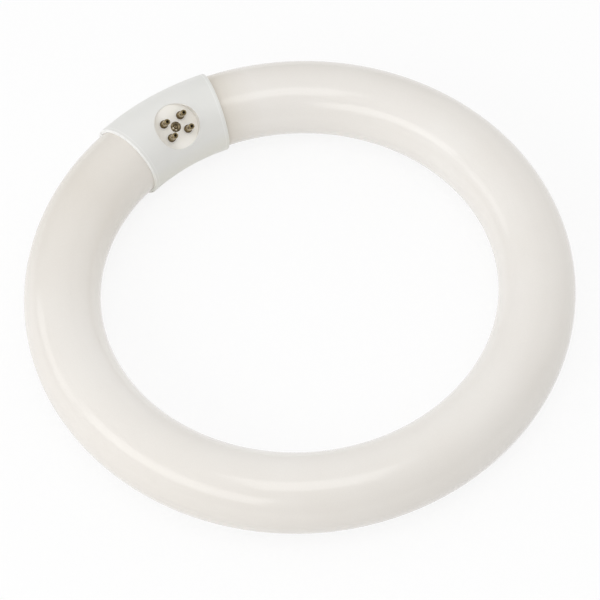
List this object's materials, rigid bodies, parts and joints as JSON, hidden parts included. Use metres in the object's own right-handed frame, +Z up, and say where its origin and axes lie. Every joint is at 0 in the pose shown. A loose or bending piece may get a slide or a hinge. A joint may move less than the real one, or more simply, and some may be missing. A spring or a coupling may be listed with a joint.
{
  "type": "circular fluorescent tube",
  "caption": "White ring-shaped fluorescent lamp whose tube ends meet in a moulded base with contact pins in a round recess.",
  "frame": {"origin": "below the ring's centre, on the plane of the base's lowest point", "axes": "+Z up with the ring lying flat and the pins on top; +Y from the ring's centre to the middle of the base; +X along the tube there"},
  "size_m": [0.216, 0.2174, 0.0354],
  "materials": {
    "coated_glass": "smooth glass, opaque white from the powder inside it",
    "base_plastic": "satin moulded",
    "pin_brass": "drawn, slightly dulled",
    "rivet_metal": "rolled, dulled",
    "lead_metal": "plated wire",
    "sleeving": "woven glass fibre"
  },
  "bodies": {
    "root": {"glass_tube": "coated_glass", "base_front_shell": "base_plastic", "base_rear_shell": "base_plastic", "clamp_rivet": "rivet_metal", "contact_pin_1": "pin_brass", "contact_pin_2": "pin_brass", "contact_pin_3": "pin_brass", "contact_pin_4": "pin_brass", "lead_wire_1": "lead_metal", "lead_wire_2": "lead_metal", "lead_wire_3": "lead_metal", "lead_wire_4": "lead_metal", "insulating_sleeve_1": "sleeving", "insulating_sleeve_2": "sleeving", "insulating_sleeve_3": "sleeving", "insulating_sleeve_4": "sleeving"}
  },
  "joints": []
}
